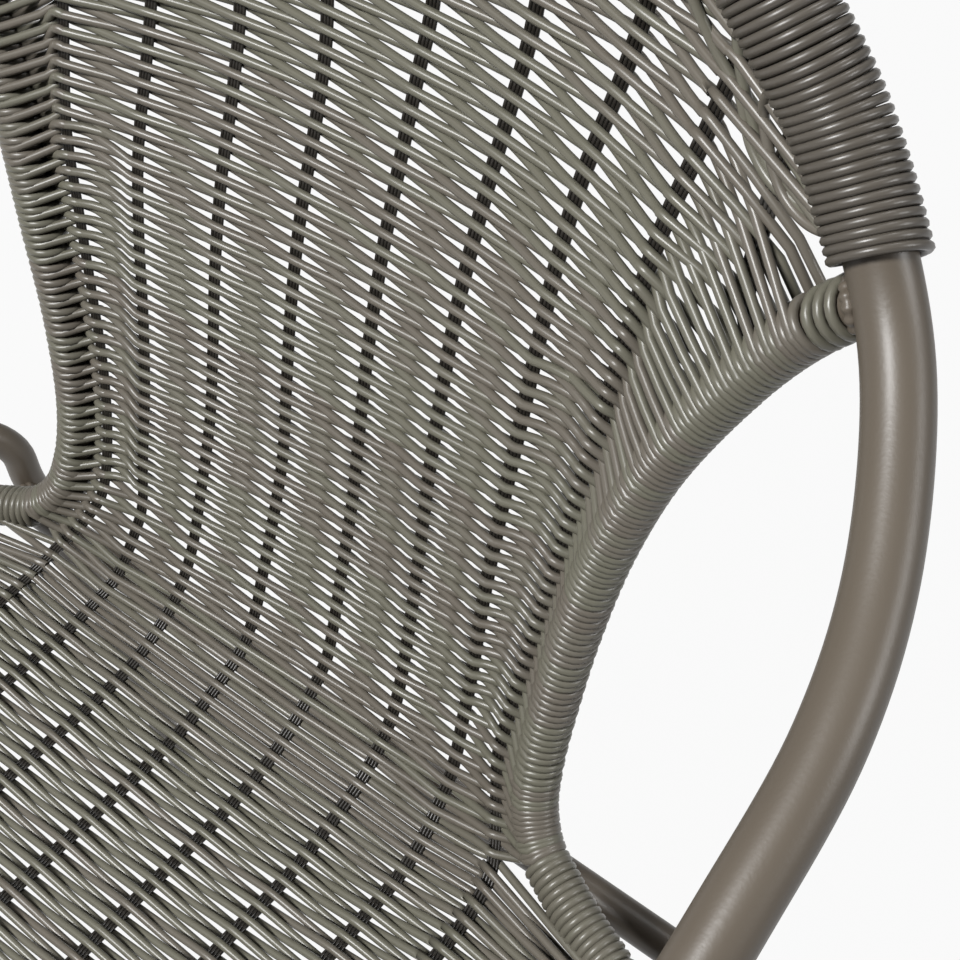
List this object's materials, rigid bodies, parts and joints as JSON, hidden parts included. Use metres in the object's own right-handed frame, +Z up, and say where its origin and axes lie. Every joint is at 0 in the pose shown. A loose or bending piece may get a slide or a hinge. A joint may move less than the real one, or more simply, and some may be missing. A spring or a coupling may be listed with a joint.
{
  "type": "armchair",
  "caption": "Bistro armchair with a bent round-tube hoop frame and a back and seat woven from round strand, drawn in to a narrow waist.",
  "frame": {"origin": "on the floor at the middle of the chair's footprint", "axes": "+Z up, the chair faces -Y, +X towards the sitter's left arm"},
  "size_m": [0.5926, 0.5377, 0.8998],
  "materials": {
    "frame_coat": "satin taupe powder coat",
    "strand": "satin extruded round strand",
    "glide": "matt moulded plastic"
  },
  "bodies": {
    "root": {"hoop_tube_left": "frame_coat", "side_bar_left": "frame_coat", "rear_leg_left": "frame_coat", "arm_weld_left": "frame_coat", "side_wrap_left": "strand", "arm_winding_left": "strand", "front_glide_left": "glide", "rear_glide_left": "glide", "hoop_tube_right": "frame_coat", "side_bar_right": "frame_coat", "rear_leg_right": "frame_coat", "arm_weld_right": "frame_coat", "side_wrap_right": "strand", "arm_winding_right": "strand", "front_glide_right": "glide", "rear_glide_right": "glide", "hoop_spigot": "frame_coat", "front_bar": "frame_coat", "rear_crossbar": "frame_coat", "front_crossbar": "frame_coat", "top_wrap": "strand", "front_wrap": "strand", "back_weave": "strand", "seat_weave": "strand"}
  },
  "joints": []
}
